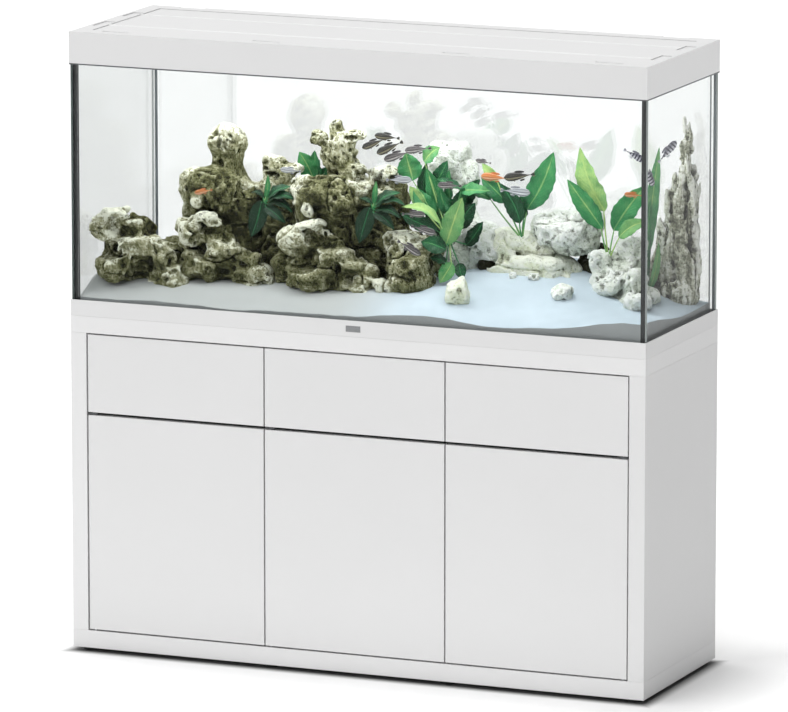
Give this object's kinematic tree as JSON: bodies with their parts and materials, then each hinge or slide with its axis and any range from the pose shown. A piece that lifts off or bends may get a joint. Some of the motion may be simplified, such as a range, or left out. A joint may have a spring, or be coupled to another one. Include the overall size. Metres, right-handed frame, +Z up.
{
  "type": "aquarium on stand",
  "caption": "Rectangular glass aquarium with a hinged lid, sand, stones and plants, on a white cabinet stand with drawers over doors.",
  "frame": {"origin": "on the floor, under the middle of the cabinet", "axes": "+X to the right seen from the front, +Y to the back, +Z up; the doors and drawers face -Y"},
  "size_m": [1.51, 0.492, 1.546],
  "materials": {
    "cabinet_white": "white satin laminate on board",
    "front_white": "white smooth lacquer",
    "inner_board": "matt white melamine",
    "rail_grey": "matt dark grey",
    "foot_black": "matt black",
    "hinge_steel": "zinc-plated steel",
    "frame_white": "white satin moulded",
    "badge_grey": "blank satin plate",
    "tank_glass": "clear float glass with polished edges",
    "black_silicone": "smooth black sealant",
    "lid_white": "white satin moulded",
    "light_aluminium": "satin anodised",
    "sand": "fine pale sand",
    "dark_stone": "pitted olive-brown rock with pale tops",
    "pale_stone": "pitted white limestone",
    "spire_stone": "grey-brown banded rock",
    "leaf_green": "satin green leaves",
    "fish_skin": "small satin scales, dark back and pale belly"
  },
  "bodies": {
    "root": {"bottom_panel": "cabinet_white", "top_panel": "cabinet_white", "left_side_panel": "cabinet_white", "right_side_panel": "cabinet_white", "divider_left": "inner_board", "divider_right": "inner_board", "middle_rail": "rail_grey", "back_panel": "inner_board", "foot_front_1": "foot_black", "foot_front_2": "foot_black", "foot_front_3": "foot_black", "foot_front_4": "foot_black", "foot_rear_1": "foot_black", "foot_rear_2": "foot_black", "foot_rear_3": "foot_black", "foot_rear_4": "foot_black", "left_drawer_runner_left": "hinge_steel", "left_drawer_runner_right": "hinge_steel", "middle_drawer_runner_left": "hinge_steel", "middle_drawer_runner_right": "hinge_steel", "right_drawer_runner_left": "hinge_steel", "right_drawer_runner_right": "hinge_steel", "base_frame": "frame_white", "badge": "badge_grey", "glass_front": "tank_glass", "glass_back": "tank_glass", "glass_left": "tank_glass", "glass_right": "tank_glass", "glass_bottom": "tank_glass", "cross_brace": "tank_glass", "silicone_joints": "black_silicone", "sand_bed": "sand", "rock_pile_left": "dark_stone", "rock_pile_right": "pale_stone", "spire_rock": "spire_stone", "plant_left": "leaf_green", "plant_middle": "leaf_green", "plant_broad_leaved": "leaf_green", "plant_long_stemmed": "leaf_green", "plant_right": "leaf_green"},
    "left_drawer": {"left_drawer_front": "front_white", "left_drawer_tray": "inner_board"},
    "middle_drawer": {"middle_drawer_front": "front_white", "middle_drawer_tray": "inner_board"},
    "right_drawer": {"right_drawer_front": "front_white", "right_drawer_tray": "inner_board"},
    "left_door": {"left_door": "front_white", "left_door_pivot_lower": "hinge_steel", "left_door_pivot_upper": "hinge_steel"},
    "middle_door": {"middle_door": "front_white", "middle_door_pivot_lower": "hinge_steel", "middle_door_pivot_upper": "hinge_steel"},
    "right_door": {"right_door": "front_white", "right_door_pivot_lower": "hinge_steel", "right_door_pivot_upper": "hinge_steel"},
    "lid": {"lid_frame": "lid_white", "light_bar_front": "light_aluminium", "light_bar_rear": "light_aluminium"},
    "front_flap": {"front_flap": "lid_white"},
    "rear_flap": {"rear_flap": "lid_white"}
  },
  "joints": [
    {"name": "left_drawer_slide", "type": "slide", "parent": "root", "child": "left_drawer", "axis": [0, -1, 0], "range_m": [0, 0.3]},
    {"name": "middle_drawer_slide", "type": "slide", "parent": "root", "child": "middle_drawer", "axis": [0, -1, 0], "range_m": [0, 0.3]},
    {"name": "right_drawer_slide", "type": "slide", "parent": "root", "child": "right_drawer", "axis": [0, -1, 0], "range_m": [0, 0.3]},
    {"name": "left_door_hinge", "type": "hinge", "parent": "root", "child": "left_door", "pos_m": [-0.698, -0.2355, 0.3268], "axis": [0, 0, -1], "range_deg": [0, 95]},
    {"name": "middle_door_hinge", "type": "hinge", "parent": "root", "child": "middle_door", "pos_m": [-0.224, -0.2355, 0.3268], "axis": [0, 0, -1], "range_deg": [0, 95]},
    {"name": "right_door_hinge", "type": "hinge", "parent": "root", "child": "right_door", "pos_m": [0.698, -0.2355, 0.3268], "axis": [0, 0, 1], "range_deg": [0, 95]},
    {"name": "lid_lift", "type": "slide", "parent": "root", "child": "lid", "axis": [0, 0, 1], "range_m": [0, 0.2]},
    {"name": "front_flap_hinge", "type": "hinge", "parent": "lid", "child": "front_flap", "pos_m": [0, -0.0986, 1.541], "axis": [-1, 0, 0], "range_deg": [0, 95]},
    {"name": "rear_flap_hinge", "type": "hinge", "parent": "lid", "child": "rear_flap", "pos_m": [0, 0.0906, 1.541], "axis": [1, 0, 0], "range_deg": [0, 95]}
  ]
}
